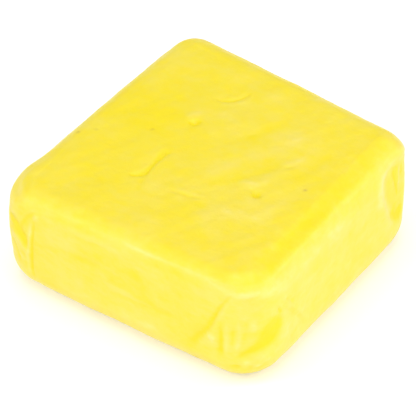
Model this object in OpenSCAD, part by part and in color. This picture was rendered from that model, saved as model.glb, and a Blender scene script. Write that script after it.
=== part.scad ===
// Bar of car detailing clay: one soft block, kneaded and pressed by hand, with rounded edges.
// Folds of the film that it was packed in are pressed into its four corners.
// The front side faces -Y, the base lies on z = 0, and the origin is the middle of the bar's box.

/* [Block] */
// Length of the front side, between its sharp corners
front_len = 57.0; // [53:0.1:62]
// Length of the back side, between its sharp corners
back_len = 55.1; // [53:0.1:62]
// Depth from front to back, halfway along
block_d = 55.3; // [51:0.1:60]
// Thickness in the middle
block_h = 21.7; // [20:0.1:26]

/* [Out of square] */
// How far the front side sits to the right of the back side
front_shift = 3.1; // [0:0.1:4]
// How much further back the back side's left end lies than its right end
back_slant = 5.9; // [0:0.1:7]
// How much higher the top lies along the right side than along the left side
right_rise = 1.6; // [0:0.1:3]
// How much higher the top lies along the back side than along the front side
back_rise = 0.3; // [0:0.1:1]
// How far the foot of the front side stands out past its top
front_lean = 0.8; // [0:0.1:2]

/* [Swell] */
// How far each side swells out halfway up
side_swell = 0.15; // [0:0.05:1]
// How far each side bows out halfway along
side_bow = 0.2; // [0:0.05:1]
// How far the top swells up in the middle
top_swell = 0.3; // [0:0.05:1]

/* [Corner radii in plan] */
// Front left corner, at the top
front_left_top_r = 6.6; // [5.4:0.1:9]
// Front left corner, at the base
front_left_base_r = 6.8; // [6:0.1:10]
// Front right corner, at the top
front_right_top_r = 7.4; // [5.4:0.1:9]
// Front right corner, at the base
front_right_base_r = 7.8; // [6:0.1:10]
// Back right corner, at the top
back_right_top_r = 5.6; // [5.4:0.1:9]
// Back right corner, at the base
back_right_base_r = 9.0; // [6:0.1:10]
// Back left corner, at the top
back_left_top_r = 5.4; // [5.4:0.1:9]
// Back left corner, at the base
back_left_base_r = 6.0; // [6:0.1:10]

/* [Edge rounding] */
// Top edge of the front side
front_edge_r = 3.4; // [2:0.1:5]
// Top edge of the right side
right_edge_r = 5.0; // [2:0.1:5]
// Top edge of the back side
back_edge_r = 4.8; // [2:0.1:5]
// Top edge of the left side
left_edge_r = 4.7; // [2:0.1:5]
// Edge all round the base
base_edge_r = 5.7; // [2:0.1:5.8]

/* [Fold marks] */
// Half width of a fold's crease
crease_w = 1.1; // [0.8:0.1:1.6]
// Depth of a fold's crease
crease_depth = 0.4; // [0:0.1:1]
// Half width of a tuck, where a fold is drawn in under its neighbour
tuck_w = 1.5; // [1:0.1:2]
// Depth of a tuck
tuck_depth = 0.7; // [0:0.1:1.5]
// Height of the roll of clay beside a crease
roll_height = 0.3; // [0:0.1:1]
// Half width of the gouge round the front right corner
gouge_w = 1.7; // [1:0.1:2.5]
// Depth of the gouge round the front right corner
gouge_depth = 0.8; // [0:0.1:2.5]
// Depth of the flat hollow pressed into the back right corner
hollow_depth = 1.0; // [0:0.1:2]
// Half width of the hollow, round the corner
hollow_w = 3.8; // [3:0.1:6]
// Half height of the hollow
hollow_h = 6.0; // [4:0.1:8]
// How far the front left corner bulges below its top edge
bulge = 0.4; // [0:0.1:0.8]
// How far the top edge of that corner is pressed in
blunting = 0.6; // [0:0.1:1]
// How far the left side's top edge stands out behind it
shoulder = 0.5; // [0:0.1:0.8]
// Distance from the top's right edge to the shallow trough beside it
trough_inset = 3.6; // [2:0.1:6]
// Half width of that trough
trough_w = 1.5; // [1:0.1:3]
// Depth of that trough
trough_depth = 0.4; // [0:0.05:0.6]

/* [Hidden] */
clay_yellow = [0.99, 0.91, 0.28];

// Corners run anticlockwise from the front left one, and side k runs from corner k to corner k + 1.
CORNERS = 4;
foot = front_lean / 2;
corner_head = [
    [front_shift / 2 - front_len / 2, foot - block_d / 2],
    [front_shift / 2 + front_len / 2, foot - block_d / 2],
    [back_len / 2 - front_shift / 2, block_d / 2 - back_slant / 2],
    [-back_len / 2 - front_shift / 2, block_d / 2 + back_slant / 2]
];
corner_foot = [
    corner_head[0] - [0, front_lean],
    corner_head[1] - [0, front_lean],
    corner_head[2],
    corner_head[3]
];
corner_r_head = [front_left_top_r, front_right_top_r, back_right_top_r, back_left_top_r];
corner_r_foot = [front_left_base_r, front_right_base_r, back_right_base_r, back_left_base_r];
edge_r = [front_edge_r, right_edge_r, back_edge_r, left_edge_r];

// Points round the bar: an arc at each corner, a fine stretch on both sides of it, and a coarse one between.
arc_n = 13;
fine_n = 8;
coarse_n = 4;
side_n = arc_n + 2 * fine_n + coarse_n;
round_n = CORNERS * side_n;
fine_len = 8;

// Rings up the bar: the base's rounding, the wall, the top's rounding, and rings that close in on the top.
base_n = 4;
wall_n = 13;
edge_n = 6;
top_f = [0.93, 0.88, 0.83, 0.75, 0.62, 0.45, 0.25];
rim_ring = base_n + wall_n + edge_n;
ring_n = rim_ring + len(top_f) + 1;

// The skin starts this far below the base, which is then pressed flat.
press_depth = 0.3;

// The base's rounding stays inside the tightest corner.
base_round = min(base_edge_r, min(corner_r_foot) - 0.1);

// Half widths of the front left corner's bulge, of its blunted top edge and of the shoulder behind it
bulge_w = 4.5;
blunting_w = 2.6;
shoulder_w = 3.5;

// Folds at each corner, as lines of [distance round the bar from the middle of the corner, height].
// A distance past the corner is positive. Each fold is [rise, half width, line]: a crease's rise is negative.
mid_h = block_h / 2;
folds = [
    // Front left: a bulge, a pocket under a flap from the corner, a hook above it, and a fold down beside it
    [
        [bulge, bulge_w, [[0.1, mid_h + 2.4], [0.3, mid_h + 2.6]]],
        [-blunting, blunting_w, [[-0.8, mid_h + 9.8], [0.6, mid_h + 9.8]]],
        [shoulder, shoulder_w, [[-7.6, mid_h + 9.2], [-6.4, mid_h + 9.2]]],
        [-tuck_depth, tuck_w, [[1.0, mid_h + 3.9], [3.3, mid_h + 2.9], [5.2, mid_h]]],
        [-crease_depth, crease_w, [[4.9, mid_h + 4.7], [6.9, mid_h + 7]]],
        [-crease_depth, crease_w, [[7.4, mid_h + 5], [6.8, mid_h - 1.4], [6.7, mid_h - 6.5]]],
        [roll_height, crease_w, [[5.2, mid_h - 1.6], [4.9, mid_h - 5]]],
        [roll_height, crease_w, [[1.6, mid_h + 1], [4.4, mid_h - 1.4]]],
        [-crease_depth, crease_w, [[-6.6, mid_h + 7], [-5.2, mid_h + 2.6], [-4.6, mid_h - 2.4]]],
        [-crease_depth / 2, crease_w, [[-10.5, mid_h - 2.6], [-5.4, mid_h + 0.4]]]
    ],
    // Front right: a slanting crease, a notch and a pleat beside it, and a gouge round the corner
    [
        [-crease_depth, 1.3 * crease_w, [[-3.4, mid_h + 8.8], [-6.8, mid_h + 2.8], [-12.2, mid_h - 5.8]]],
        [-crease_depth, crease_w, [[-5.5, mid_h + 1.2], [-5.7, mid_h - 4]]],
        [roll_height, crease_w, [[-7.3, mid_h - 1.2], [-7.4, mid_h - 1.8]]],
        [roll_height / 2, crease_w, [[-2.1, mid_h + 3.6], [-2.4, mid_h - 3]]],
        [roll_height, 1.5 * crease_w, [[-1.8, mid_h + 9.2], [0.2, mid_h + 9.2]]],
        [-gouge_depth, gouge_w, [[5.0, mid_h + 1.8], [2.9, mid_h - 0.5], [1.2, mid_h - 2]]],
        [-gouge_depth / 2, crease_w, [[1.0, mid_h - 2.2], [-2.6, mid_h - 4.2]]],
        [roll_height, crease_w, [[0.4, mid_h - 4.9], [2.0, mid_h - 4.8]]]
    ],
    // Back right: the roll that borders the hollow, a tuck at its foot, and two creases past the corner
    [
        [roll_height, 1.4 * crease_w, [[-3.8, mid_h + 9.8], [-8.2, mid_h + 9.6], [-11.0, mid_h + 7.4],
            [-11.2, mid_h + 4.2], [-9.8, mid_h + 0.6], [-8.2, mid_h - 2.6]]],
        [-tuck_depth, tuck_w, [[-9.0, mid_h - 0.2], [-5.4, mid_h - 2.4], [-1.6, mid_h - 2.2]]],
        [-crease_depth, crease_w, [[3.4, mid_h + 8.8], [4.4, mid_h + 4.4], [3.6, mid_h - 0.4],
            [4.6, mid_h - 4.4]]],
        [-crease_depth / 2, crease_w, [[5.2, mid_h + 1.2], [10.6, mid_h - 1.4]]]
    ],
    // Back left: a tuck across the corner and a crease down each side of it
    [
        [-crease_depth, crease_w, [[-9.0, mid_h + 6.8], [-6.2, mid_h + 1.6], [-6.4, mid_h - 5.6]]],
        [-tuck_depth, tuck_w, [[-3.4, mid_h + 2], [-0.4, mid_h + 0.2], [2.6, mid_h + 0.8], [5.0, mid_h + 3]]],
        [-crease_depth, crease_w, [[7.4, mid_h + 7.6], [6.6, mid_h + 2.6], [7.4, mid_h - 2.2],
            [10.0, mid_h - 5.4]]],
        [roll_height, 1.5 * crease_w, [[0.3, mid_h - 3.2], [0.9, mid_h - 3.4]]]
    ]
];

// The hollow lies at a corner too: its middle, how far it is turned, and how square and how soft its border is.
hollow_corner = 2;
hollow_at = [-5.2, mid_h + 3.4];
hollow_turn = 8;
hollow_square = 2.6;
hollow_soft = 0.42;

function mix(a, b, t) = a + (b - a) * t;
function ease(t) = let (u = min(1, max(0, t))) u * u * (3 - 2 * u);
function unit(v) = v / norm(v);

// Plan of the bar at the share t of its height
function corner_at(k, t) = mix(corner_foot[k % CORNERS], corner_head[k % CORNERS], t);
function corner_r_at(k, t) = mix(corner_r_foot[k % CORNERS], corner_r_head[k % CORNERS], t);
function side_dir(k, t) = unit(corner_at(k + 1, t) - corner_at(k, t));
function side_out(k, t) = let (d = side_dir(k % CORNERS, t)) [d[1], -d[0]];
function arc_centre(k, t) = let (
        before = side_out(k + CORNERS - 1, t),
        after = side_out(k, t)
    ) corner_at(k, t) - (before + after) * corner_r_at(k, t) / (1 + before * after);
function arc_start(k, t) = let (n = side_out(k + CORNERS - 1, t)) atan2(n[1], n[0]);
function arc_turn(k, t) = let (n = side_out(k, t)) (atan2(n[1], n[0]) - arc_start(k, t) + 720) % 360;
function straight_start(k, t) = arc_centre(k, t) + corner_r_at(k, t) * side_out(k, t);
function straight_end(k, t) = arc_centre(k + 1, t) + corner_r_at(k + 1, t) * side_out(k, t);

// Distance along a straight stretch of the given length to its point e
function spaced(e, length) =
    e <= fine_n ? fine_len * e / fine_n
    : e <= fine_n + coarse_n ? mix(fine_len, length - fine_len, (e - fine_n) / coarse_n)
    : length - fine_len * (side_n - arc_n - e) / fine_n;

// Point i of the plan: [place, outward direction, distance past corner k, distance before corner k + 1]
function plan_point(i, t) = let (
        k = floor(i / side_n),
        m = i % side_n
    ) m < arc_n ? corner_point(k, m / arc_n, t) : straight_point(k, m - arc_n, t);
function corner_point(k, f, t) = let (
        a = arc_start(k, t) + arc_turn(k, t) * f,
        out = [cos(a), sin(a)],
        past = corner_r_at(k, t) * arc_turn(k, t) * (f - 0.5) * PI / 180
    ) [arc_centre(k, t) + corner_r_at(k, t) * out, out, past, block_d];
function straight_point(k, e, t) = let (
        start = straight_start(k, t),
        length = norm(straight_end(k, t) - start),
        d = spaced(e, length),
        out = side_out(k, t),
        bow = side_bow * sin(180 * d / length),
        lead = corner_r_at(k, t) * arc_turn(k, t) * PI / 360,
        tail = corner_r_at(k + 1, t) * arc_turn((k + 1) % CORNERS, t) * PI / 360
    ) [start + d * side_dir(k, t) + bow * out, out, d + lead, length - d + tail];

// Radius of the top edge at point i, which turns from one side's to the next round the corner
function edge_r_at(i) = let (
        k = floor(i / side_n),
        m = i % side_n
    ) mix(edge_r[(k + CORNERS - 1) % CORNERS], edge_r[k], m < arc_n ? ease(m / arc_n) : 1);

// Height of the top at a place
function top_z(p) = block_h + right_rise * p[0] / front_len + back_rise * p[1] / block_d
    + top_swell * (1 - pow(2 * p[0] / front_len, 2)) * (1 - pow(2 * p[1] / block_d, 2));

// Ring j at point i as [inset, height, tilt of the surface], with the top's height there given
function section(i, j, head) = let (edge = edge_r_at(i))
    j <= base_n ? let (a = 90 * (j / base_n - 1)) rounded(base_round, base_round - press_depth, a)
    : j <= base_n + wall_n ? wall((j - base_n) / wall_n, head - edge)
    : let (a = 90 * (j - base_n - wall_n) / edge_n) rounded(edge, head - edge, a);
function rounded(r, z, a) = [r * (1 - cos(a)), z + r * sin(a), a];
function wall(t, head) = [-side_swell * sin(180 * t), mix(base_round - press_depth, head, t), 0];

// Rise of the surface at q, a [distance round the bar, height], near corner k
function span(q, a, b) = let (ab = b - a, t = min(1, max(0, (q - a) * ab / (ab * ab)))) norm(q - a - t * ab);
function reach(q, line) = min([for (m = [0:len(line) - 2]) span(q, line[m], line[m + 1])]);
function fold_rise(k, q) = let (
        rises = [for (f = folds[k % CORNERS]) f[0] * exp(-pow(reach(q, f[2]) / f[1], 2))]
    ) rises * [for (r = rises) 1];
function hollow_rise(k, q) = k % CORNERS != hollow_corner ? 0 : let (
        off = q - hollow_at,
        across = abs(off * [cos(hollow_turn), sin(hollow_turn)]) / hollow_w,
        up = abs(off * [-sin(hollow_turn), cos(hollow_turn)]) / hollow_h,
        far = pow(pow(across, hollow_square) + pow(up, hollow_square), 1 / hollow_square)
    ) -hollow_depth * (1 - ease((far - 1 + hollow_soft) / (2 * hollow_soft)));
function wall_rise(i, plan, v) = let (
        k = floor(i / side_n),
        past = [plan[2], v],
        before = [-plan[3], v]
    ) fold_rise(k, past) + hollow_rise(k, past)
    + (plan[3] < block_d ? fold_rise(k + 1, before) + hollow_rise(k + 1, before) : 0);

// Point i of ring j on the wall and the rounded edges
function skin_point(i, j) = let (
        head = top_z(plan_point(i, 1)[0]),
        part = section(i, j, head),
        plan = plan_point(i, min(1, max(0, part[1] / head))),
        rise = wall_rise(i, plan, part[1] + part[0] * sign(part[2])),
        at = plan[0] - plan[1] * (part[0] - rise * cos(part[2]))
    ) [at[0], at[1], part[1] + rise * sin(part[2]) * (j == 0 ? 0 : 1)];

// Points round the top, closing in from the rim: the trough runs along the right side, which is side 1
function top_point(rim, i, f) = let (
        p = [rim[0] * f, rim[1] * f],
        m = i % side_n,
        ends = ease((m - arc_n) / fine_n) * ease((side_n - m) / fine_n),
        right = floor(i / side_n) == 1 ? ends : 0,
        in_from_rim = norm([rim[0], rim[1]]) * (1 - f),
        trough = right * trough_depth * exp(-pow((in_from_rim - trough_inset) / trough_w, 2))
    ) [p[0], p[1], top_z(p) + (rim[2] - top_z(rim)) * ease((f - 0.6) / 0.4) - trough];

skin = [for (j = [0:rim_ring]) for (i = [0:round_n - 1]) skin_point(i, j)];
rim = [for (i = [0:round_n - 1]) skin[rim_ring * round_n + i]];
top = [for (f = top_f) for (i = [0:round_n - 1]) top_point(rim[i], i, f)];
points = concat(skin, top, [[0, 0, top_z([0, 0])]]);

// Faces look outwards: the base, the rings and the fan that closes the top
last_ring = ring_n - 1;
base_face = [for (i = [0:round_n - 1]) i];
ring_faces = [for (j = [0:last_ring - 1]) for (i = [0:round_n - 1]) let (
        a = j * round_n + i,
        b = j * round_n + (i + 1) % round_n
    ) each [[a, a + round_n, b + round_n], [a, b + round_n, b]]];
top_faces = [for (i = [0:round_n - 1]) [last_ring * round_n + i, len(points) - 1,
    last_ring * round_n + (i + 1) % round_n]];

// The bar's box, to set the origin at its middle
xs = [for (p = points) p[0]];
ys = [for (p = points) p[1]];
middle = [(min(xs) + max(xs)) / 2, (min(ys) + max(ys)) / 2, 0];

module pressed_skin() {
    translate(-middle)
    polyhedron(points = points, faces = concat([base_face], ring_faces, top_faces), convexity = 4);
}

module clay_block() {
    slab = 2 * front_len;
    color(clay_yellow)
    difference() {
        pressed_skin();
        translate([-slab / 2, -slab / 2, -slab]) cube(slab);
    }
}

clay_block();
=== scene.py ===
"""Dress the packed clay bar: a fine skin with its fold marks, waxy yellow clay, a pale studio."""

import math

import bpy
import numpy as np
from mathutils import Matrix, Vector, noise


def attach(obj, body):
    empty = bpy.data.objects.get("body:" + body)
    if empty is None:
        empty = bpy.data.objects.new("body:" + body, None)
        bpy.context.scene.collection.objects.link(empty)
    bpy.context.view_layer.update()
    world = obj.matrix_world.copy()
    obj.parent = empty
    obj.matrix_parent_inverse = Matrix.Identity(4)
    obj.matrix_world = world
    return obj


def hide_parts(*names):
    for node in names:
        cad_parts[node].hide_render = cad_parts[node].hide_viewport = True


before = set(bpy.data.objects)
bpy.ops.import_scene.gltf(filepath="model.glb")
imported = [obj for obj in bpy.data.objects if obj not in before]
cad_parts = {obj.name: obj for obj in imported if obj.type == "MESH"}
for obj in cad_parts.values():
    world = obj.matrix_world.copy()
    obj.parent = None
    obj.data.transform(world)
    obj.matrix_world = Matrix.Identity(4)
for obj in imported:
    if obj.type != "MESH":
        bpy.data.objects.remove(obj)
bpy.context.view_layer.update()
NODE = "clay_block"
MM = 0.001

# ---------------------------------------------------------------- driving dimensions, in mm
# The bar's own sizes, as in its construction. Corners run anticlockwise from the front left, and
# edges from the front.
FRONT_LEN = 57.0
BACK_LEN = 55.1
BLOCK_D = 55.3
BLOCK_H = 21.7
FRONT_SHIFT = 3.1
BACK_SLANT = 5.9
RIGHT_RISE = 1.6
BACK_RISE = 0.3
FRONT_LEAN = 0.8
SIDE_SWELL = 0.15
SIDE_BOW = 0.2
TOP_SWELL = 0.3
CORNER_TOP_R = (6.6, 7.4, 5.6, 5.4)
CORNER_BASE_R = (6.8, 7.8, 9.0, 6.0)
EDGE_R = (3.4, 5.0, 4.8, 4.7)
EDGE_TURN = 0.1            # share of a side over which its edge's radius turns to the next one's
BASE_EDGE_R = 5.7
PRESS_DEPTH = 0.3          # the skin starts this far below the floor, and is then pressed flat
STREAK_TURN = 63.0         # degrees round from the right-hand side, of the streaks on the top
SIDES = 4                  # of the plan; each comes after the corner of the same number

# Resolution of the fine skin: points along each side, and rings in each band of its height
SIDE_N = 176
CROWDING = 0.3             # how much closer the points stand at the corners than between them
BASE_RINGS = 14
WALL_RINGS = 42
EDGE_RINGS = 20
SETTLING = 60              # rounds of evening out the points of the top


# ---------------------------------------------------------------- the plain block
def mix(a, b, t):
    """The value at the share t of the way from a to b."""
    return a + (b - a) * t


def ease(t):
    """0 before 0, 1 after 1, and a smooth step between them."""
    u = np.clip(t, 0, 1)
    return u * u * (3 - 2 * u)


def corners(t):
    """The four sharp corners of the plan, and their radii, at each share t of the height."""
    t = np.asarray(t, float)[..., None]
    half_y = BLOCK_D / 2
    lean = FRONT_LEAN / 2 * np.concatenate([2 * t - 1, 2 * t - 1, 0 * t, 0 * t], -1)
    x = np.array([FRONT_SHIFT - FRONT_LEN, FRONT_SHIFT + FRONT_LEN,
                  BACK_LEN - FRONT_SHIFT, -BACK_LEN - FRONT_SHIFT]) / 2
    y = np.array([-half_y, -half_y, half_y - BACK_SLANT / 2, half_y + BACK_SLANT / 2])
    radius = mix(np.array(CORNER_BASE_R), np.array(CORNER_TOP_R), t)
    return np.stack([x + 0 * t, y + lean], -1), radius


def plan(side, share, t):
    """Place, outward direction and the distances past this corner and before the next.

    share runs from 0 to 1 between the middles of two corners, along a side, and t from 0 at the
    base to 1 at the top."""
    corner, radius = corners(t)

    def pick(values, k):
        return values[np.arange(len(k)), k % SIDES]

    def heading(k):
        d = pick(corner, k + 1) - pick(corner, k)
        return d / np.linalg.norm(d, axis=1)[:, None]

    def outward(k):
        d = heading(k)
        return np.stack([d[:, 1], -d[:, 0]], 1)

    def arc(k):
        before, after, r = outward(k - 1), outward(k), pick(radius, k)
        dot = (before * after).sum(1)
        centre = pick(corner, k) - (before + after) * (r / (1 + dot))[:, None]
        return centre, r, np.arctan2(before[:, 1], before[:, 0]), np.arccos(dot)

    c0, r0, a0, turn0 = arc(side)
    c1, r1, a1, turn1 = arc(side + 1)
    out = outward(side)
    start = c0 + r0[:, None] * out
    end = c1 + r1[:, None] * out
    straight = np.linalg.norm(end - start, axis=1)
    lead, tail = r0 * turn0 / 2, r1 * turn1 / 2
    total = lead + straight + tail
    d = share * total
    on_lead, on_tail = d < lead, d > lead + straight
    angle = np.where(on_lead, a0 + turn0 / 2 + d / r0, a1 + (d - lead - straight) / r1)
    round_out = np.stack([np.cos(angle), np.sin(angle)], 1)
    run = np.clip(d - lead, 0, straight)
    bow = SIDE_BOW * np.sin(math.pi * run / straight)
    flat = start + heading(side) * run[:, None] + out * bow[:, None]
    at = np.where(on_lead[:, None], c0 + r0[:, None] * round_out,
                  np.where(on_tail[:, None], c1 + r1[:, None] * round_out, flat))
    normal = np.where((on_lead | on_tail)[:, None], round_out, out)
    return at, normal, d, total - d


def top_z(x, y):
    """Height of the plain top, which slants a little and swells towards its middle."""
    swell = TOP_SWELL * (1 - (2 * x / FRONT_LEN) ** 2) * (1 - (2 * y / BLOCK_D) ** 2)
    return BLOCK_H + RIGHT_RISE * x / FRONT_LEN + BACK_RISE * y / BLOCK_D + swell


def edge_radius(side, share):
    """Top edge radius, which turns from one side's to the next over the corner between them."""
    here, before, after = (np.array(EDGE_R)[(side + k) % SIDES] for k in (0, -1, 1))
    lead = mix(before, here, 0.5 + 0.5 * ease(share / EDGE_TURN))
    tail = mix(here, after, 0.5 * ease((share - 1 + EDGE_TURN) / EDGE_TURN))
    return np.where(share < 0.5, lead, tail)


def crowded(share):
    """Even shares of a side, moved towards its two ends."""
    return share - CROWDING * np.sin(2 * math.pi * share) / (2 * math.pi)


def skin():
    """Points, normals, faces and unrolled places of the plain block.

    The unrolled places are, for the walls, the side, the distances past and before its corners
    and about the height along the skin, and nan on the top and the base."""
    side = np.repeat(np.arange(SIDES), SIDE_N)
    share = np.tile(crowded(np.arange(SIDE_N) / SIDE_N), SIDES)
    edge = edge_radius(side, share)
    rim_at = plan(side, share, np.ones(len(side)))[0]
    head = top_z(rim_at[:, 0], rim_at[:, 1])
    base_z = BASE_EDGE_R - PRESS_DEPTH
    # each ring's inset, height and tilt: up the round foot, the wall and the top edge
    rings = []
    for a in np.linspace(-math.pi / 2, 0, BASE_RINGS + 1)[:-1]:
        rings.append((BASE_EDGE_R * (1 - math.cos(a)) + 0 * edge,
                      base_z + BASE_EDGE_R * math.sin(a) + 0 * edge, a))
    for t in np.linspace(0, 1, WALL_RINGS + 1)[:-1]:
        rings.append((-SIDE_SWELL * math.sin(math.pi * t) + 0 * edge,
                      mix(base_z, head - edge, t), 0.0))
    for a in np.linspace(0, math.pi / 2, EDGE_RINGS + 1):
        rings.append((edge * (1 - math.cos(a)), head - edge + edge * math.sin(a), a))
    points, normals, places = [], [], []
    for inset, z, tilt in rings:
        at, out, past, before = plan(side, share, np.clip(z / head, 0, 1))
        xy = at - out * inset[:, None]
        points.append(np.column_stack([xy, z]))
        normals.append(np.column_stack([out * math.cos(tilt), np.full(len(z), math.sin(tilt))]))
        girth = np.sign(tilt) * np.abs(inset)
        places.append(np.column_stack([side, past, before, z + girth]))
    ring_n = len(side)
    faces = []
    for j in range(len(rings) - 1):
        for i in range(ring_n):
            a, b = j * ring_n + i, j * ring_n + (i + 1) % ring_n
            faces.append((a, b, b + ring_n, a + ring_n))
    top = (len(rings) - 1) * ring_n
    count = len(rings) * ring_n
    grid, inner = patch(points[-1], top, count)
    lid = np.column_stack([inner[:, :2], top_z(inner[:, 0], inner[:, 1]) + inner[:, 2]])
    for r in range(SIDE_N):
        for c in range(SIDE_N):
            faces.append((grid[r, c], grid[r, c + 1], grid[r + 1, c + 1], grid[r + 1, c]))
    foot = np.append(points[0][:, :2].mean(0), -PRESS_DEPTH)[None]
    centre = count + len(lid)
    faces.extend((centre, (i + 1) % ring_n, i) for i in range(ring_n))
    for flat, up in ((lid, 1.0), (foot, -1.0)):
        points.append(flat)
        normals.append(np.tile([0.0, 0.0, up], (len(flat), 1)))
        places.append(np.full((len(flat), 4), np.nan))
    return np.concatenate(points), np.concatenate(normals), faces, np.concatenate(places)


def patch(ring, first, count):
    """A square grid stretched over a ring of points, as a grid of indices and the inner points.

    The inner points' third value is how far the ring stands off the top there. They are evened
    out, so that none is left outside the ring where it turns a corner."""
    n = SIDE_N
    off = ring[:, 2] - top_z(ring[:, 0], ring[:, 1])
    ring = np.column_stack([ring[:, :2], off])
    index = np.zeros((n + 1, n + 1), int)
    value = np.zeros((n + 1, n + 1, 3))
    steps = np.arange(n + 1)
    for k, (rows, cols) in enumerate(((0 * steps, steps), (steps, 0 * steps + n),
                                      (0 * steps + n, n - steps), (n - steps, 0 * steps))):
        where = (k * n + steps) % (SIDES * n)
        index[rows, cols] = first + where
        value[rows, cols] = ring[where]
    u, v = np.meshgrid(crowded(steps / n), crowded(steps / n))
    u, v = u[..., None], v[..., None]
    blend = ((1 - v) * value[0][None] + v * value[n][None]
             + (1 - u) * value[:, 0][:, None] + u * value[:, n][:, None]
             - (1 - u) * (1 - v) * value[0, 0] - u * (1 - v) * value[0, n]
             - (1 - u) * v * value[n, 0] - u * v * value[n, n])
    inside = np.zeros((n + 1, n + 1), bool)
    inside[1:-1, 1:-1] = True
    index[inside] = count + np.arange((n - 1) ** 2)
    value[inside] = blend[inside]
    for _ in range(SETTLING):
        value[1:-1, 1:-1] = (value[:-2, 1:-1] + value[2:, 1:-1]
                             + value[1:-1, :-2] + value[1:-1, 2:]) / 4
    return index, value[inside]


# ---------------------------------------------------------------- the relief
PAINTED_RELIEF_SHADING = 0.6                 # painted shade and highlight: how much paler each mm of a mark's rise makes the surface, so a crease is painted darker and a roll paler
SMEAR_AND_PAINTED_LIGHT_GAIN = 4.0                 # the same for a mark that is mostly a change of tone: smears and blots in the clay's own tone, and painted highlights and painted shade along the edges and in the folds
PLAIN_PALENESS = 0.5           # the paleness of unmarked clay, from 0 for the deepest yellow to 1 for the palest
TOP_PAINTED_SHADE = -0.06           # painted shade: added to it on the top, which is painted a deeper yellow than the walls
# painted sheen: added to it on the walls, which are painted paler than the top
WALL_PAINTED_SHEEN = 0.03
HOLLOW_PAINTED_SHADE = 0.2          # painted shade: how much paler each mm of rise makes the finger's hollow, which is painted darker where it is pressed in
SQUARENESS = 2.6           # of the hollow's border: 2 is an ellipse
BLUNT_END = 0.3            # how far along its taper a crease already is at its very end
ROLL_WIDTH = 0.9           # of the roll beside a crease, in the crease's widths


def smooth_path(points, steps=8):
    """A smooth curve through a few points, which leaves each one parallel to its neighbours."""
    p = np.array(points, float)
    if len(p) < 3:
        return p
    p = np.vstack([2 * p[0] - p[1], p, 2 * p[-1] - p[-2]])
    out = []
    for k in range(1, len(p) - 2):
        for t in np.arange(steps) / steps:
            a, b, c, d = p[k - 1:k + 3]
            out.append(0.5 * (2 * b + (c - a) * t + (2 * a - 5 * b + 4 * c - d) * t ** 2
                              + (3 * b - a - 3 * c + d) * t ** 3))
    out.append(p[-2])
    return np.array(out)


def reach(q, line):
    """Distance from each q to a line, its sign (left is positive) and the share along the line."""
    best = np.full(len(q), np.inf)
    sign = np.zeros(len(q))
    share = np.zeros(len(q))
    steps = np.linalg.norm(np.diff(line, axis=0), axis=1)
    begin = np.concatenate([[0], np.cumsum(steps)])
    for k, (a, b) in enumerate(zip(line[:-1], line[1:])):
        ab = b - a
        t = np.clip(((q - a) @ ab) / (ab @ ab), 0, 1)
        off = q - a - t[:, None] * ab
        d = np.linalg.norm(off, axis=1)
        near = d < best
        best[near] = d[near]
        sign[near] = np.sign(ab[0] * off[near, 1] - ab[1] * off[near, 0])
        share[near] = (begin[k] + t[near] * steps[k]) / begin[-1]
    return best, sign, share


def along(values, share):
    """A size that is one number, or several spread evenly along a line."""
    values = np.atleast_1d(np.array(values, float))
    if len(values) == 1:
        return values[0]
    return np.interp(share, np.linspace(0, 1, len(values)), values)


def crease(line, width=0.5, depth=0.5, lip=0.0, lip_at=1.8, taper=0.25, tone=PAINTED_RELIEF_SHADING):
    """A crease along a line, fading out at its ends, with a roll of clay on its left side.

    A negative lip puts the roll on the right and a negative depth makes a ridge. The roll's
    middle lies lip_at widths from the line, and the taper is the share of the line that fades at
    each end. The tone is how much paler each mm of rise makes the surface; on a real crease this
    paints shade into it and a highlight onto its roll."""
    path = smooth_path(line)

    def make(q):
        d, sign, share = reach(q, path)
        w = along(width, share)
        fade = ease(share / taper + BLUNT_END) * ease((1 - share) / taper + BLUNT_END)
        cut = -along(depth, share) * np.exp(-(d / w) ** 2)
        across = d * sign * (1 if lip >= 0 else -1)
        roll = abs(lip) * np.exp(-((across - lip_at * w) / (ROLL_WIDTH * w)) ** 2)
        return (cut + roll) * fade
    return make, tone


def bump(at, radius, height, tone=PAINTED_RELIEF_SHADING):
    """A rise or, with a negative height, a hollow: radius is one size or two."""
    def make(q):
        d = np.linalg.norm((q - np.array(at)) / np.array(radius), axis=1)
        return height * np.exp(-(d ** 2))
    return make, tone


def pressed(centre, lean, taper, half, depth, soft):
    """A flat hollow pressed in by a finger: half its two widths, how far it leans to the left
    for each mm of height, and the share by which it is wider at its top than at its middle."""
    def make(q):
        up = q[:, 1] - centre[1]
        wide = half[0] * (1 + taper * np.clip(up / half[1], -1, 1))
        across = np.abs((q[:, 0] - centre[0] + lean * up) / wide)
        far = (across ** SQUARENESS + np.abs(up / half[1]) ** SQUARENESS) ** (1 / SQUARENESS)
        return -depth * (1 - ease((far - 1 + soft) / (2 * soft)))
    # painted shade: the hollow is painted darker the deeper it is pressed
    return make, HOLLOW_PAINTED_SHADE


def marked(marks, q):
    """Rise and tone of all the marks at each place, as two rows."""
    total = np.zeros((2, len(q)))
    for make, tone in marks:
        rise = make(q)
        total += [rise, rise * tone]
    return total
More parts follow.
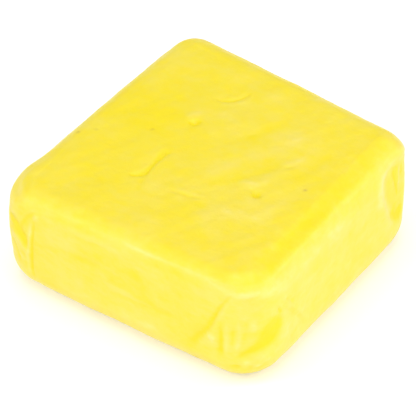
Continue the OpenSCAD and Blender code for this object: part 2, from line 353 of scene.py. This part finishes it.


# Each corner's folds, as (distance round the bar past its middle, height along the skin), in mm. Their
# tones paint shade into the creases and hollows and highlights onto the rolls and ridges.
WALL_MARKS = (
    # front left: a pocket under a flap from the corner, a hook above it and a fold down beside it
    (
        crease([(0.2, 15.0), (1.9, 14.8), (3.6, 13.8), (4.9, 12.2), (5.8, 10.4)],
               (0.5, 0.7, 0.8, 0.65, 0.45), (0.15, 0.28, 0.38, 0.35, 0.2), -0.1, 1.9, tone=2.4),
        # painted shade in the pocket under the flap
        bump((2.2, 13.2), (2.0, 1.6), -0.08, SMEAR_AND_PAINTED_LIGHT_GAIN),
        crease([(1.4, 13.4), (3.2, 12.6), (4.6, 11.0), (5.4, 9.4)], 0.5, 0.15, tone=1.6),
        crease([(4.3, 13.6), (4.9, 15.2), (5.7, 16.5), (6.8, 17.6), (8.2, 18.6)],
               0.4, 0.12, 0.04, tone=2.2),
        bump((7.9, 17.6), (0.7, 0.6), 0.25, 1.8),
        crease([(7.5, 16.2), (7.0, 12.8), (6.6, 9.4), (6.4, 6.4), (6.8, 3.8)],
               (0.25, 0.28, 0.3, 0.32), (0.08, 0.14, 0.17, 0.16), -0.07, 2.4, tone=3.0),
        crease([(6.8, 16.4), (6.2, 13.4), (5.8, 10.8), (5.7, 8.4)], 0.38, -0.1, tone=2.6),
        crease([(1.8, 12.2), (3.6, 11.2), (4.9, 9.8), (5.8, 8.0)], 0.4, -0.16, tone=1.6),
        crease([(1.4, 10.6), (2.6, 8.6), (3.8, 6.4)], 0.5, 0.2),
        bump((0.2, 13.4), (4.5, 4.6), 0.45, 0.0),
        bump((-0.2, 20.6), (3.4, 2.4), -0.65, -0.2),
        bump((-7.0, 20.0), (4.0, 3.4), 0.5, 0.0),
        crease([(-6.6, 17.8), (-5.2, 13.5), (-4.6, 8.5)], 0.6, 0.35, 0.15, tone=1.0),
        crease([(-10.5, 8.2), (-8.2, 10.4), (-5.4, 11.2)], 0.45, 0.35),
    ),
    # front right: a long slanting crease, a notch, thin pleats beside it and a broad gouge, shown
    # largely by painted shade and highlights, and the painted highlight lines, the ridge and the
    # painted shade band that follow the top edges on both sides
    (
        crease([(-3.6, 19.4), (-5.4, 16.6), (-6.8, 13.9), (-8.2, 11.0), (-10.6, 7.8), (-12.2, 5.0)],
               (0.3, 0.4, 0.5, 0.7, 0.9), (0.2, 0.28, 0.26, 0.24, 0.22), 0.06, 1.9, tone=1.6),
        crease([(-5.4, 13.2), (-5.4, 10.0), (-5.7, 6.2)],
               (0.3, 0.5, 0.75), (0.06, 0.18, 0.26), tone=2.8),
        bump((-7.2, 9.5), (0.75, 0.85), 0.4, 1.2),
        crease([(-4.3, 13.8), (-4.3, 10.6), (-4.7, 6.6)],
               (0.3, 0.5, 0.5), (-0.04, -0.06, -0.05), tone=SMEAR_AND_PAINTED_LIGHT_GAIN),
        crease([(-3.1, 12.6), (-3.3, 10.4), (-3.4, 8.8)], 0.32, 0.06, tone=SMEAR_AND_PAINTED_LIGHT_GAIN),
        crease([(-2.2, 14.4), (-2.1, 11.0), (-2.7, 7.6)],
               (0.3, 0.4, 0.5), (-0.03, -0.05, -0.05), tone=SMEAR_AND_PAINTED_LIGHT_GAIN),
        crease([(-0.9, 14.6), (-1.0, 12.4), (-1.5, 9.8)], 0.45, 0.04, tone=SMEAR_AND_PAINTED_LIGHT_GAIN),
        crease([(0.3, 14.0), (0.4, 11.6)], 0.5, -0.03, tone=SMEAR_AND_PAINTED_LIGHT_GAIN),
        crease([(5.6, 13.4), (4.6, 11.9), (3.1, 10.1), (1.0, 8.4), (-1.0, 7.4), (-2.6, 6.4)],
               (1.1, 1.8, 1.9, 1.1, 0.6, 0.45), (0.2, 0.34, 0.36, 0.24, 0.16, 0.12),
               taper=0.14, tone=3.2),
        crease([(5.2, 14.8), (6.0, 13.4)], 0.35, 0.25, tone=1.2),
        bump((1.6, 6.2), (1.5, 0.9), 0.3, 0.8),
        bump((-1.0, 5.4), (0.8, 0.6), 0.25, 1.4),
        bump((0.9, 4.2), (0.9, 0.5), 0.2, 1.6),
        bump((2.9, 5.0), (0.7, 0.5), 0.15, 1.6),
        bump((-2.9, 3.9), (1.0, 0.6), -0.35, 1.6),
        bump((-1.2, 2.8), (0.7, 0.4), -0.25, 1.6),
        crease([(-1.0, 4.6), (0.8, 3.4), (2.8, 3.8)], 0.35, 0.22, tone=1.2),
        crease([(5.5, 15.7), (8.9, 11.8), (11.6, 8.4), (13.6, 6.0)], 0.45, 0.2, 0.08),
        crease([(7.5, 15.6), (9.7, 13.4)], 0.4, 0.25),
        # a small rise at the corner of the front top edge, painted paler as a highlight
        bump((-0.8, 20.0), (1.9, 0.7), 0.3, 1.4),
        # painted highlight: a pale band along the top of the right wall
        crease([(-0.5, 19.4), (4.0, 19.0), (14.0, 18.8), (27.0, 19.0)],
               (1.0, 1.7, 1.6, 1.5), -0.055, tone=SMEAR_AND_PAINTED_LIGHT_GAIN),
        # painted highlight: a pale line along the front top edge
        crease([(-26.0, 20.9), (-12.0, 21.1), (-6.0, 20.8), (-1.0, 20.1)],
               (0.5, 0.55, 0.9, 1.2), (-0.085, -0.075, -0.06, -0.05), tone=SMEAR_AND_PAINTED_LIGHT_GAIN),
        crease([(-8.0, 21.8), (-3.0, 21.8), (3.0, 21.9), (8.0, 22.3), (16.0, 22.6), (27.0, 22.8)],
               1.7, (-0.1, -0.18, -0.22, -0.3, -0.34, -0.3), tone=0.0),
        # painted shade: a darker band on the top beside the edges
        crease([(-12.0, 23.6), (-3.0, 23.3), (3.0, 23.4), (8.0, 23.8), (16.0, 24.3), (27.0, 24.7)],
               1.4, (0.01, 0.035, 0.045, 0.04, 0.03, 0.03), tone=SMEAR_AND_PAINTED_LIGHT_GAIN),
        bump((14.0, 12.0), (16.0, 9.0), 0.02, SMEAR_AND_PAINTED_LIGHT_GAIN),
        bump((0.0, 11.5), (6.0, 7.0), 0.02, SMEAR_AND_PAINTED_LIGHT_GAIN),
    ),
    # back right: the end fold pressed flat, with a raised border and a tuck at its foot; the flat is
    # painted darker as shade, and the border and the corner of the top edge paler as highlights
    (
        pressed((-5.2, 14.2), 0.14, 0.2, (3.7, 6.0), 0.85, 0.45),
        crease([(0.5, 20.6), (-4.6, 21.0), (-8.0, 20.8), (-10.6, 19.6),
                (-11.4, 17.4), (-11.0, 14.8), (-9.8, 11.6), (-8.2, 8.4)],
               (1.2, 1.5, 1.5, 1.4, 1.0, 0.8), -0.3, tone=0.4),
        # painted highlight: a pale spot where the top edge turns the corner
        bump((-1.2, 20.4), (2.0, 1.0), 0.25, 1.8),
        # painted highlight along the hollow's raised border
        crease([(-4.0, 20.6), (-8.4, 20.2), (-11.2, 18.4), (-11.8, 15.6), (-11.2, 13.0)],
               0.9, -0.08, tone=SMEAR_AND_PAINTED_LIGHT_GAIN),
        crease([(-5.4, 18.2), (-4.9, 15.6), (-3.9, 11.4)], 0.45, 0.22, tone=1.2),
        crease([(-2.6, 18.0), (-2.1, 14.8)], 0.4, 0.15, tone=1.2),
        crease([(-3.9, 17.6), (-3.4, 14.0)], 0.4, -0.2),
        crease([(-7.6, 9.4), (-6.2, 8.9), (-4.6, 8.1), (-2.2, 8.0)],
               (0.7, 1.0, 1.1, 0.9), (0.3, 0.5, 0.6, 0.5), tone=1.5),
        crease([(3.4, 19.6), (4.4, 15.2), (3.6, 10.4), (4.6, 6.4)], 0.5, 0.35, 0.15, tone=1.0),
        crease([(5.2, 12.0), (7.6, 10.2), (10.6, 9.4)], 0.45, 0.3),
    ),
    # back left, out of sight: a low tuck, short folds off it, and a crease down each side of it
    (
        crease([(-9.0, 17.6), (-6.6, 13.6), (-5.6, 9.4), (-6.4, 5.2)], 0.6, 0.3, 0.1, tone=0.8),
        crease([(-3.4, 12.8), (-0.4, 11.0), (2.6, 11.6), (5.0, 13.8)],
               (0.5, 1.0, 0.8, 0.5), (0.15, 0.45, 0.4, 0.12), -0.1, tone=0.5),
        crease([(0.2, 10.8), (-0.8, 8.4), (-2.8, 6.2)], 0.5, 0.3, tone=0.8),
        crease([(-1.6, 11.6), (-0.7, 14.4), (-1.2, 17.4)], 0.4, 0.2, 0.06, tone=0.8),
        crease([(3.4, 12.2), (4.6, 9.0), (4.2, 6.0)], 0.45, 0.2, tone=0.8),
        crease([(7.4, 18.4), (6.6, 13.4), (7.4, 8.6), (10.0, 5.4)], 0.5, 0.25, -0.1, tone=0.8),
        bump((0.6, 7.6), (1.6, 1.2), 0.3),
    ),
)

# Marks in the top face, as (x, y) in mm; the creases and dimples are painted darker as shade, and the
# rolls beside them paler as highlights
TOP_MARKS = (
    # a forked crease, widest at its head
    crease([(-7.3, -3.2), (-7.2, -4.9), (-7.1, -6.8), (-6.9, -8.9), (-6.7, -11.0)],
           (0.9, 0.55, 0.34, 0.32, 0.6), (0.32, 0.4, 0.34, 0.34, 0.45), 0.04, taper=0.1, tone=1.9),
    crease([(-6.8, -10.8), (-7.6, -11.6), (-8.6, -12.3)], (0.6, 0.5, 0.4), 0.3, 0.05, tone=1.6),
    crease([(-6.5, -11.2), (-5.7, -13.0), (-4.4, -15.1)], 0.4, 0.12, tone=1.2),
    bump((-3.0, -12.4), (2.4, 1.8), 0.04, SMEAR_AND_PAINTED_LIGHT_GAIN),
    # two dimples, each with a smear of clay beside it
    bump((-8.1, 5.9), (0.7, 0.8), -0.45, 1.9),
    crease([(-8.1, 5.9), (-9.3, 5.4)], 0.4, 0.25, tone=0.9),
    crease([(-10.6, 6.3), (-10.1, 7.6), (-8.9, 8.7)], 0.7, -0.12, tone=2.0),
    bump((13.7, -5.2), (0.75, 0.7), -0.45, 1.9),
    crease([(11.9, -4.3), (13.5, -5.0)], 0.35, 0.25, tone=0.9),
    crease([(8.8, -3.4), (10.7, -3.1), (12.7, -2.8)], 0.7, -0.12, tone=2.0),
    bump((12.7, -1.6), (0.8, 0.8), 0.12, 2.0),
    # short dashes and fine lines
    crease([(11.8, 4.0), (13.1, 5.5), (14.3, 7.0)], 0.5, -0.04, tone=SMEAR_AND_PAINTED_LIGHT_GAIN),
    crease([(13.3, 3.6), (14.4, 5.2)], 0.45, 0.2),
    crease([(-9.2, 13.6), (-7.5, 14.2), (-6.1, 15.5), (-5.2, 18.0)], 0.4, 0.25, tone=0.9),
    crease([(-8.2, 13.0), (-6.2, 13.8), (-4.8, 15.8)], 0.5, -0.025, tone=SMEAR_AND_PAINTED_LIGHT_GAIN),
    crease([(0.3, -11.1), (3.5, -10.8), (6.9, -10.3)], 0.35, -0.08, tone=2.0),
    crease([(0.0, -11.9), (3.4, -11.7), (6.4, -11.2)], 0.35, 0.15),
    bump((7.0, -12.5), (1.1, 0.9), -0.05, SMEAR_AND_PAINTED_LIGHT_GAIN),
    bump((12.4, -11.6), (0.9, 0.6), 0.06, SMEAR_AND_PAINTED_LIGHT_GAIN),
    bump((14.2, -10.5), (0.9, 0.6), 0.05, SMEAR_AND_PAINTED_LIGHT_GAIN),
    # broad slanting smears in the pale film
    crease([(1.8, 5.4), (3.4, 9.0), (4.6, 12.4), (5.9, 16.8)], 1.3, 0.05, tone=SMEAR_AND_PAINTED_LIGHT_GAIN),
    crease([(2.2, -6.4), (3.8, -3.2), (4.8, -0.4), (6.4, 2.8),
            (8.3, 6.2), (10.2, 10.0), (10.8, 14.0)],
           (1.2, 1.4, 1.5, 1.3, 1.4, 1.2), -0.045, tone=SMEAR_AND_PAINTED_LIGHT_GAIN),
    crease([(3.8, -8.0), (6.0, -5.6), (8.6, -2.6), (10.6, 0.8), (12.2, 4.0)], 0.9, 0.05, tone=SMEAR_AND_PAINTED_LIGHT_GAIN),
    crease([(12.8, 0.6), (13.7, 5.0), (14.6, 9.0), (14.2, 13.0)], 1.0, -0.04, tone=SMEAR_AND_PAINTED_LIGHT_GAIN),
    crease([(15.8, 1.0), (17.4, 6.0), (17.8, 12.0)], 1.1, 0.035, tone=SMEAR_AND_PAINTED_LIGHT_GAIN),
    crease([(-20.0, 14.0), (-15.0, 8.0), (-10.0, 4.0)], 2.6, 0.03, tone=SMEAR_AND_PAINTED_LIGHT_GAIN),
    crease([(-14.0, 4.0), (-11.0, -0.5), (-4.0, -2.0), (0.0, 0.5)], 1.6, 0.03, tone=SMEAR_AND_PAINTED_LIGHT_GAIN),
    crease([(2.0, -19.0), (4.5, -15.5), (7.5, -12.8)], 1.8, 0.03, tone=SMEAR_AND_PAINTED_LIGHT_GAIN),
    crease([(9.0, -17.0), (12.5, -11.0), (15.5, -4.0)], 2.6, -0.03, tone=SMEAR_AND_PAINTED_LIGHT_GAIN),
    crease([(17.0, -12.0), (18.8, -4.0), (20.6, 4.0)], 1.2, -0.03, tone=SMEAR_AND_PAINTED_LIGHT_GAIN),
    bump((-16.0, -4.6), (2.4, 3.4), -0.03, SMEAR_AND_PAINTED_LIGHT_GAIN),
    bump((-16.0, 2.0), (9.0, 13.0), -0.055, SMEAR_AND_PAINTED_LIGHT_GAIN),
    bump((13.0, 16.0), (8.0, 7.0), 0.02, SMEAR_AND_PAINTED_LIGHT_GAIN),
    bump((-15.0, -16.5), (5.5, 6.0), -0.045, SMEAR_AND_PAINTED_LIGHT_GAIN),
    bump((17.5, -10.0), (4.5, 6.0), 0.035, SMEAR_AND_PAINTED_LIGHT_GAIN),
    crease([(21.0, -22.0), (21.6, -10.0), (21.0, 4.0), (20.0, 16.0)], 1.6, 0.02, tone=SMEAR_AND_PAINTED_LIGHT_GAIN),
    # a shallow trough beside the right-hand edge, painted darker as shade
    crease([(25.2, -22.0), (25.6, -14.0), (25.0, -4.0), (24.0, 8.0), (22.8, 17.0)],
           1.5, 0.4, tone=0.5),
)

# Specks of grit caught in the top, as (x, y) in mm
GRIT = (
    bump((-24.5, -7.2), (0.32, 0.32), 0.75),
    bump((-22.1, -5.1), (0.45, 0.3), 0.3),
    bump((-13.6, 0.3), (0.32, 0.28), 0.6),
    bump((19.9, 0.6), (0.34, 0.3), 0.75),
)

# Drag marks and blots along the front, as (x, height along the skin)
FRONT_STREAKS = (
    crease([(-16.5, 12.6), (-12.0, 12.9), (-7.0, 13.2), (-2.8, 13.3)],
           (0.6, 0.8, 1.1, 0.7), 0.1, tone=0.9),
    crease([(1.4, 14.9), (5.6, 15.7)], 0.9, 0.1, tone=1.2),
    crease([(-1.0, 9.3), (5.2, 9.4), (12.6, 10.2)], 0.6, 0.15, tone=1.0),
    crease([(-3.4, 10.9), (5.2, 10.6)], 0.7, -0.1, tone=1.2),
    crease([(-14.0, 7.5), (-6.6, 7.8)], 1.1, -0.1, tone=1.2),
    crease([(-12.0, 18.3), (-5.0, 18.6), (1.0, 18.5)], 0.8, -0.05, tone=SMEAR_AND_PAINTED_LIGHT_GAIN),
    bump((-8.0, 13.1), (2.2, 0.8), -0.05, SMEAR_AND_PAINTED_LIGHT_GAIN),
    bump((5.0, 14.6), (1.8, 1.6), -0.05, SMEAR_AND_PAINTED_LIGHT_GAIN),
    crease([(-2.0, 11.6), (6.0, 10.6), (14.0, 10.4)], 0.9, 0.04, tone=SMEAR_AND_PAINTED_LIGHT_GAIN),
    crease([(-20.0, 5.4), (-6.0, 5.0), (12.0, 5.6)], 1.0, -0.04, tone=SMEAR_AND_PAINTED_LIGHT_GAIN),
)

FOLD_REACH = 28.0          # how far from its corner a fold may reach, in mm
FRONT = 0                  # the number of the front side
NOISE_GAIN = 1.8           # brings the raw noise to about -1 to 1

# Unevenness from handling: the spots' size along each axis, their greatest rise in mm, and a seed
LUMPS = (
    ((9.0, 9.0, 9.0), 0.10, 3.7),
    ((2.6, 2.6, 2.6), 0.035, 11.3),
    ((0.9, 0.9, 0.9), 0.012, 23.1),
)
TOP_STREAKS = ((11.0, 1.9, 50.0), 0.04, 5.9)
WALL_STREAKS = ((9.0, 9.0, 1.6), 0.035, 8.3)

# How far a normal has to point up, as a share of its length
FLAT = 0.9                 # on the flat of the top or, pointing down, of the base
PAINTED_SHADE_START = 0.7          # where the walls' painted sheen gives way to the top's painted shade
TOP_REACH = 0.2            # where the marks of the top begin, on its edges
FADE_SLOPE = 1.4           # from there they grow as FADE_SLOPE times that share, less FADE_START
FADE_START = 0.3


def drift(at, scale, height, seed):
    """Smooth noise between about -height and height at points in mm: scale is the spots' size."""
    at = at / np.array(scale, float) + seed
    return height * (np.array([noise.noise(Vector(p)) for p in at.tolist()]) * NOISE_GAIN)


def wall_marks(side, past, before, v, points):
    """Rise and tone of the walls: the folds near each corner, and the drag marks between them."""
    total = np.zeros((2, len(v)))
    for corner, marks in enumerate(WALL_MARKS):
        for near, dist in ((side == corner, past), ((side + 1) % SIDES == corner, -before)):
            pick = near & (np.abs(dist) < FOLD_REACH)
            total[:, pick] += marked(marks, np.column_stack([dist[pick], v[pick]]))
    front = side == FRONT
    total[:, front] += marked(FRONT_STREAKS, np.column_stack([points[front, 0], v[front]]))
    return total


def handling(points, normals):
    """The unevenness of hand-pressed clay: soft lumps, fainter small ones, and long streaks."""
    flat = np.abs(normals[:, 2]) > FLAT
    a = math.radians(STREAK_TURN)
    x, y, z = points.T
    turned = np.column_stack([x * math.cos(a) + y * math.sin(a), y * math.cos(a) - x * math.sin(a), z])
    rise = sum(drift(points, *lumps) for lumps in LUMPS)
    return rise + np.where(flat, drift(turned, *TOP_STREAKS), drift(points, *WALL_STREAKS))


# ---------------------------------------------------------------- surfaces
# The clay's settings that are the same all over
CLAY = {
    "IOR": 1.5,
    "Specular IOR Level": 0.5,
    "Coat Roughness": 0.6,
    "Coat IOR": 1.6,
    "Subsurface Weight": 0.2,
    "Subsurface Radius": (1.0, 0.75, 0.25),
    "Subsurface Scale": 0.001,
}
# The clay's colour and its coat, by the paleness map, which holds the clay's own patches and also the
# painted shade and highlights; where shade is painted the coat is thin too, so it reflects less
BASE_STOPS = (
    (0.10, (0.955, 0.765, 0.001, 1)),
    (0.38, (0.957, 0.77, 0.007, 1)),
    (0.52, (0.96, 0.775, 0.022, 1)),
    (0.72, (0.965, 0.785, 0.07, 1)),
    (0.95, (0.975, 0.82, 0.17, 1)),
)
COAT_STOPS = ((0.1, 0.05), (0.5, 0.95), (0.6, 1.0))
GRIT_COLOUR = (0.60, 0.40, 0.03, 1)
# The clay's roughness, by a fine cloud, and its grain
ROUGH_STOPS = ((0.3, 0.38), (0.7, 0.50))
ROUGH_SCALE = 240
GRAIN_SCALE = 900
GRAIN_STRENGTH = 0.4
GRAIN_DEPTH = 0.0002       # in metres
FINE_DETAIL = 4.0          # of both clouds
# Clouds in the film: scale, detail, roughness, stretch, turn in degrees, and share in the film
FILM_CLOUDS = (
    (95, 3.0, 0.55, (1, 1, 1.6), 0.0, 0.6),
    (420, 4.0, 0.6, (1, 1, 1.8), 0.0, 0.6),
    (300, 3.0, 0.55, (0.22, 1, 1), -STREAK_TURN, 0.5),
)


def clay_material():
    """Waxy yellow clay with paler patches, painted shade in its folds, painted highlights, and grit in
    it.
    """
    mat = bpy.data.materials.new("waxy_yellow_clay")
    mat.use_nodes = True
    tree = mat.node_tree
    tree.nodes.clear()
    node, link = tree.nodes.new, tree.links.new
    out = node("ShaderNodeOutputMaterial")
    clay = node("ShaderNodeBsdfPrincipled")
    link(clay.outputs["BSDF"], out.inputs["Surface"])
    for socket, value in CLAY.items():
        clay.inputs[socket].default_value = value
    place = node("ShaderNodeTexCoord")

    def cloud(scale, detail, rough=0.5, stretch=(1, 1, 1), turn=0.0):
        where = node("ShaderNodeMapping")
        where.inputs["Scale"].default_value = stretch
        where.inputs["Rotation"].default_value = (0, 0, math.radians(turn))
        link(place.outputs["Object"], where.inputs["Vector"])
        tex = node("ShaderNodeTexNoise")
        tex.inputs["Scale"].default_value = scale
        tex.inputs["Detail"].default_value = detail
        tex.inputs["Roughness"].default_value = rough
        link(where.outputs["Vector"], tex.inputs["Vector"])
        return tex.outputs["Fac"]

    def ramp(fac, stops):
        r = node("ShaderNodeValToRGB")
        marks = r.color_ramp.elements
        marks[0].position, marks[0].color = stops[0]
        marks[1].position, marks[1].color = stops[-1]
        for at, colour in stops[1:-1]:
            marks.new(at).color = colour
        link(fac, r.inputs["Fac"])
        return r.outputs["Color"]

    def grey_ramp(fac, stops):
        return ramp(fac, [(at, (value, value, value, 1)) for at, value in stops])

    def painted(name):
        """A value that each point of the skin carries."""
        attribute = node("ShaderNodeAttribute")
        attribute.attribute_name = name
        return attribute.outputs["Fac"]

    def tinted(fac, colour, tint):
        m = node("ShaderNodeMix")
        m.data_type = "RGBA"
        link(fac, m.inputs["Factor"])
        link(colour, m.inputs["A"])
        m.inputs["B"].default_value = tint
        return m.outputs["Result"]

    def summed(first, second, share):
        """first + share * (second - 0.5)"""
        m = node("ShaderNodeMath")
        m.operation = "MULTIPLY_ADD"
        link(second, m.inputs[0])
        m.inputs[1].default_value = share
        link(first, m.inputs[2])
        less = node("ShaderNodeMath")
        less.operation = "SUBTRACT"
        link(m.outputs["Value"], less.inputs[0])
        less.inputs[1].default_value = share / 2
        return less.outputs["Value"]

    # deeper yellow clay made paler in patches and smears, painted a deeper yellow as shade in the
    # creases and paler as highlights along the edges and ridges
    film = painted("film")
    for *shape, share in FILM_CLOUDS:
        film = summed(film, cloud(*shape), share)
    base = ramp(film, BASE_STOPS)
    link(grey_ramp(film, COAT_STOPS), clay.inputs["Coat Weight"])
    link(tinted(painted("grit"), base, GRIT_COLOUR), clay.inputs["Base Color"])
    link(grey_ramp(cloud(ROUGH_SCALE, FINE_DETAIL), ROUGH_STOPS), clay.inputs["Roughness"])
    grain = node("ShaderNodeBump")
    grain.inputs["Strength"].default_value = GRAIN_STRENGTH
    grain.inputs["Distance"].default_value = GRAIN_DEPTH
    link(cloud(GRAIN_SCALE, FINE_DETAIL), grain.inputs["Height"])
    link(grain.outputs["Normal"], clay.inputs["Normal"])
    return mat


FLOOR_COLOUR = (0.86, 0.86, 0.86, 1)
FLOOR_ROUGHNESS = 0.9
FLOOR_LIFT = 0.30          # added to the floor where it is seen; 1 is white


def floor_material():
    """A pale floor that keeps the shadow, a little whiter where it is seen than where it lights."""
    mat = bpy.data.materials.new("pale_floor")
    mat.use_nodes = True
    tree = mat.node_tree
    shader = tree.nodes["Principled BSDF"]
    shader.inputs["Base Color"].default_value = FLOOR_COLOUR
    shader.inputs["Roughness"].default_value = FLOOR_ROUGHNESS
    shader.inputs["Emission Color"].default_value = (1, 1, 1, 1)
    ray = tree.nodes.new("ShaderNodeLightPath")
    seen = ray.outputs["Is Camera Ray"]
    for kind in ("Is Glossy Ray", "Is Transmission Ray"):
        either = tree.nodes.new("ShaderNodeMath")
        either.operation = "MAXIMUM"
        tree.links.new(seen, either.inputs[0])
        tree.links.new(ray.outputs[kind], either.inputs[1])
        seen = either.outputs["Value"]
    glow = tree.nodes.new("ShaderNodeMath")
    glow.operation = "MULTIPLY"
    glow.inputs[1].default_value = FLOOR_LIFT
    tree.links.new(seen, glow.inputs[0])
    tree.links.new(glow.outputs["Value"], shader.inputs["Emission Strength"])
    return mat


# ---------------------------------------------------------------- studio and camera
CAMERA_AZIMUTH = 39.5      # degrees round from the front, towards the right side
CAMERA_HEIGHT = 38.3       # degrees above the floor
CAMERA_ROLL = 3.0
CAMERA_DISTANCE = 720.0
LENS = 348.8
SENSOR = 36.0
NEAREST = 10.0             # how near to the camera something is still seen, in mm
AIM = (-4.0, 3.0, 6.1)
FLOOR_HALF = 3.0           # in metres
ROOM_LIGHT = 0.50
# Softboxes: name, place as two angles in degrees and a distance in metres, its two sizes in metres
# and its power in watts
SOFTBOXES = (
    ("over", 0, 88, 1.2, (0.8, 0.8), 4.7),
    ("over_front", 45, 50, 1.0, (1.3, 0.16), 0.9),
    ("front_left", -42, 38, 1.0, (0.4, 0.16), 1.5),
    ("front_left_low", -42, 9, 1.0, (0.6, 0.3), 0.6),
    ("front_low", 40, 8, 1.0, (0.6, 0.25), 2.3),
    ("back_right", 136, 31, 1.0, (0.5, 0.25), 1.8),
    ("right_low", 106, 8, 1.0, (0.6, 0.25), 1.1),
)


def direction(azimuth, height):
    """Unit vector from the bar towards a place given in degrees, as the camera's is."""
    a, h = math.radians(azimuth), math.radians(height)
    return Vector((math.sin(a) * math.cos(h), -math.cos(a) * math.cos(h), math.sin(h)))


def add_camera(shift):
    """A camera that looks at AIM, moved by as much as the bar was."""
    back = direction(CAMERA_AZIMUTH, CAMERA_HEIGHT)
    right = Vector((0, 0, 1)).cross(back).normalized()
    up = back.cross(right)
    r = math.radians(CAMERA_ROLL)
    right, up = math.cos(r) * right - math.sin(r) * up, math.sin(r) * right + math.cos(r) * up
    eye = (Vector(AIM) + CAMERA_DISTANCE * back) * MM + shift
    camera = bpy.data.objects.new("camera", bpy.data.cameras.new("camera"))
    camera.data.lens = LENS
    camera.data.sensor_width = SENSOR
    camera.data.clip_start = NEAREST * MM
    m = Matrix.Identity(4)
    for k, axis in enumerate((right, up, back)):
        for row in range(3):
            m[row][k] = axis[row]
    m.translation = eye
    camera.matrix_world = m
    bpy.context.collection.objects.link(camera)
    bpy.context.scene.camera = camera


def softbox(name, azimuth, height, distance, size, power):
    """A rectangular lamp that faces the bar."""
    light = bpy.data.lights.new(name, "AREA")
    light.shape = "RECTANGLE"
    light.size, light.size_y = size
    light.energy = power
    lamp = bpy.data.objects.new(name, light)
    lamp.location = distance * direction(azimuth, height)
    lamp.rotation_euler = direction(azimuth, height).to_track_quat("Z", "Y").to_euler()
    bpy.context.collection.objects.link(lamp)


def studio():
    """A floor, a pale room and the softboxes round the bar."""
    mesh = bpy.data.meshes.new("floor")
    square = [(x * FLOOR_HALF, y * FLOOR_HALF, 0) for x, y in ((-1, -1), (1, -1), (1, 1), (-1, 1))]
    mesh.from_pydata(square, [], [(0, 1, 2, 3)])
    floor = bpy.data.objects.new("floor", mesh)
    bpy.context.collection.objects.link(floor)
    floor.data.materials.append(floor_material())
    pale_room()
    for settings in SOFTBOXES:
        softbox(*settings)


def pale_room():
    """A pale room all round, which lights the bar softly."""
    world = bpy.data.worlds.new("pale_room")
    bpy.context.scene.world = world
    world.use_nodes = True
    shade = world.node_tree.nodes["Background"]
    shade.inputs["Color"].default_value = (1, 1, 1, 1)
    shade.inputs["Strength"].default_value = ROOM_LIGHT


# ---------------------------------------------------------------- making
def build_mesh(name, points, faces):
    """A smooth-shaded object from points in mm."""
    mesh = bpy.data.meshes.new(name)
    mesh.from_pydata((points * MM).tolist(), [], [tuple(int(i) for i in f) for f in faces])
    mesh.update()
    mesh.polygons.foreach_set("use_smooth", [True] * len(mesh.polygons))
    piece = bpy.data.objects.new(name, mesh)
    bpy.context.collection.objects.link(piece)
    return piece


def clay_skin():
    """The clay's skin, and the middle of the plain block's plan, which comes to the origin."""
    points, normals, faces, places = skin()
    up = normals[:, 2]
    side, past, before, v = places.T
    wall = np.isfinite(v)
    head = up > np.where(wall, TOP_REACH, 0)
    total = np.stack([handling(points, normals), np.zeros(len(points))])
    total[:, wall] += wall_marks(side[wall].astype(int), past[wall], before[wall], v[wall],
                                 points[wall])
    fade = ease(up[head] * FADE_SLOPE - FADE_START)
    total[:, head] += marked(TOP_MARKS, points[head, :2]) * fade
    rise, tone = total
    # painted shade on the top and painted sheen on the walls, by which way the skin faces
    tone += np.where(up > PAINTED_SHADE_START, TOP_PAINTED_SHADE, WALL_PAINTED_SHEEN)
    middle = (points.min(0) + points.max(0)) / 2 * (1, 1, 0)
    points = points + normals * rise[:, None]
    points[:, 2] = np.maximum(points[:, 2], 0)
    piece = build_mesh("clay_skin", points - middle, faces)
    grit = np.zeros(len(points))
    grit[head] = marked(GRIT, points[head, :2])[0]
    # the paleness map: the clay's own patches and smears, and the painted shade and highlights of the
    # marks and faces
    for name, values in (("film", PLAIN_PALENESS + tone), ("grit", grit)):
        data = piece.data.attributes.new(name, "FLOAT", "POINT").data
        data.foreach_set("value", np.clip(values, 0, 1))
    return piece, middle


bpy.context.scene.view_settings.view_transform = "Standard"
bar, middle = clay_skin()
bar.data.materials.append(clay_material())
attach(bar, "root")
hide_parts(NODE)
studio()
add_camera(-Vector(middle) * MM)
